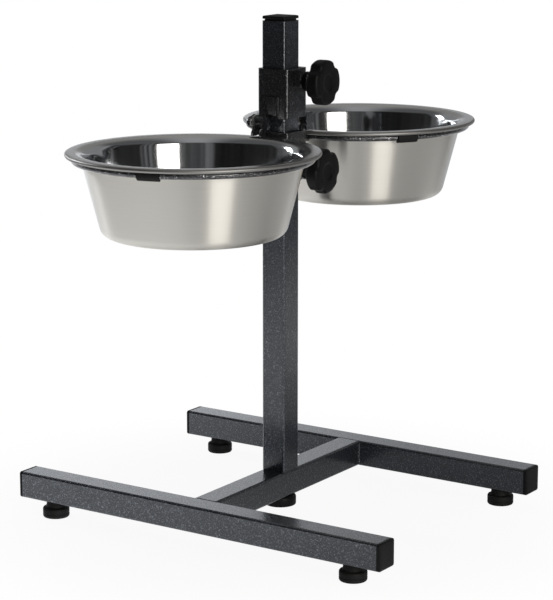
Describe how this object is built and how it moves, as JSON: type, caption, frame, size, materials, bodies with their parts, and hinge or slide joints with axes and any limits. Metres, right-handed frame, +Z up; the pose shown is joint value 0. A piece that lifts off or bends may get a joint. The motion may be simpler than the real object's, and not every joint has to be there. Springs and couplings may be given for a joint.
{
  "type": "raised dog feeder stand",
  "caption": "Raised pet feeder: square tube base and post, clamp sleeves that slide on the post, and rod rings that carry lift-out stainless bowls.",
  "frame": {"origin": "on the floor under the axis of the post, in the middle of the base", "axes": "+Z up, +X along the crossbar towards the bowl on the lower sleeve, +Y along the skids away from the clamp knobs"},
  "size_m": [0.4986, 0.398, 0.47],
  "materials": {
    "hammered_coat": "hammered dark grey powder coat",
    "black_coat": "satin black powder coat",
    "black_plastic": "fine matt moulded black",
    "black_rubber": "matt black",
    "zinc_steel": "zinc plated",
    "polished_nut": "polished",
    "stainless": "satin outside, polished inside"
  },
  "bodies": {
    "base": {"front_skid": "hammered_coat", "rear_skid": "hammered_coat", "crossbar": "hammered_coat", "base_welds": "hammered_coat", "skid_end_caps": "black_plastic", "foot_front_left": "black_rubber", "foot_front_right": "black_rubber", "foot_rear_left": "black_rubber", "foot_rear_right": "black_rubber", "foot_screws": "zinc_steel", "post": "hammered_coat", "post_top_cap": "black_plastic", "post_foot_plug": "black_plastic", "post_nut": "zinc_steel", "base_stud": "zinc_steel", "base_knob": "black_plastic"},
    "upper_holder": {"upper_sleeve": "black_coat", "upper_weld_nut": "black_coat", "upper_lug": "black_coat", "front_arm": "black_coat", "front_ring": "black_coat", "front_ring_clips": "black_rubber", "front_bracket_bolt": "black_coat", "front_bracket_washer": "zinc_steel", "front_cap_nut": "polished_nut"},
    "upper_clamp_pad": {"upper_pressure_pad": "black_plastic"},
    "upper_clamp_screw": {"upper_clamp_stud": "zinc_steel", "upper_clamp_knob": "black_plastic"},
    "front_catch": {"front_catch": "black_coat"},
    "front_bowl": {"front_bowl": "stainless"},
    "lower_holder": {"lower_sleeve": "black_coat", "lower_weld_nut": "black_coat", "lower_lug": "black_coat", "rear_arm": "black_coat", "rear_ring": "black_coat", "rear_ring_clips": "black_rubber", "rear_bracket_bolt": "black_coat", "rear_bracket_washer": "zinc_steel", "rear_cap_nut": "polished_nut"},
    "lower_clamp_pad": {"lower_pressure_pad": "black_plastic"},
    "lower_clamp_screw": {"lower_clamp_stud": "zinc_steel", "lower_clamp_knob": "black_plastic"},
    "rear_catch": {"rear_catch": "black_coat"},
    "rear_bowl": {"rear_bowl": "stainless"}
  },
  "joints": [
    {"name": "upper_slide", "type": "slide", "parent": "base", "child": "upper_holder", "axis": [0, 0, 1], "range_m": [0, 0.04]},
    {"name": "upper_pad_slide", "type": "slide", "parent": "upper_holder", "child": "upper_clamp_pad", "axis": [0, -1, 0], "range_m": [0, 0.0013]},
    {"name": "upper_knob_turn", "type": "hinge", "parent": "upper_clamp_pad", "child": "upper_clamp_screw", "pos_m": [0, -0.028, 0.411], "axis": [0, -1, 0], "range_deg": [0, 360]},
    {"name": "front_catch_swing", "type": "hinge", "parent": "upper_holder", "child": "front_catch", "pos_m": [-0.025, 0.0079, 0.3733], "axis": [0, 1, 0], "range_deg": [0, 150]},
    {"name": "front_bowl_turn", "type": "hinge", "parent": "upper_holder", "child": "front_bowl", "pos_m": [-0.137, 0, 0.355], "axis": [0, 0, 1], "continuous": true},
    {"name": "lower_slide", "type": "slide", "parent": "base", "child": "lower_holder", "axis": [0, 0, 1], "range_m": [-0.235, 0]},
    {"name": "lower_pad_slide", "type": "slide", "parent": "lower_holder", "child": "lower_clamp_pad", "axis": [0, -1, 0], "range_m": [0, 0.0013]},
    {"name": "lower_knob_turn", "type": "hinge", "parent": "lower_clamp_pad", "child": "lower_clamp_screw", "pos_m": [0, -0.028, 0.33], "axis": [0, -1, 0], "range_deg": [0, 360]},
    {"name": "rear_catch_swing", "type": "hinge", "parent": "lower_holder", "child": "rear_catch", "pos_m": [0.025, -0.0117, 0.3733], "axis": [0, -1, 0], "range_deg": [0, 150]},
    {"name": "rear_bowl_turn", "type": "hinge", "parent": "lower_holder", "child": "rear_bowl", "pos_m": [0.137, 0, 0.355], "axis": [0, 0, 1], "continuous": true}
  ],
  "couplings": [
    {"joint": "upper_pad_slide", "follows": "upper_knob_turn", "m_per_rad": 0.00019894},
    {"joint": "lower_pad_slide", "follows": "lower_knob_turn", "m_per_rad": 0.00019894}
  ]
}
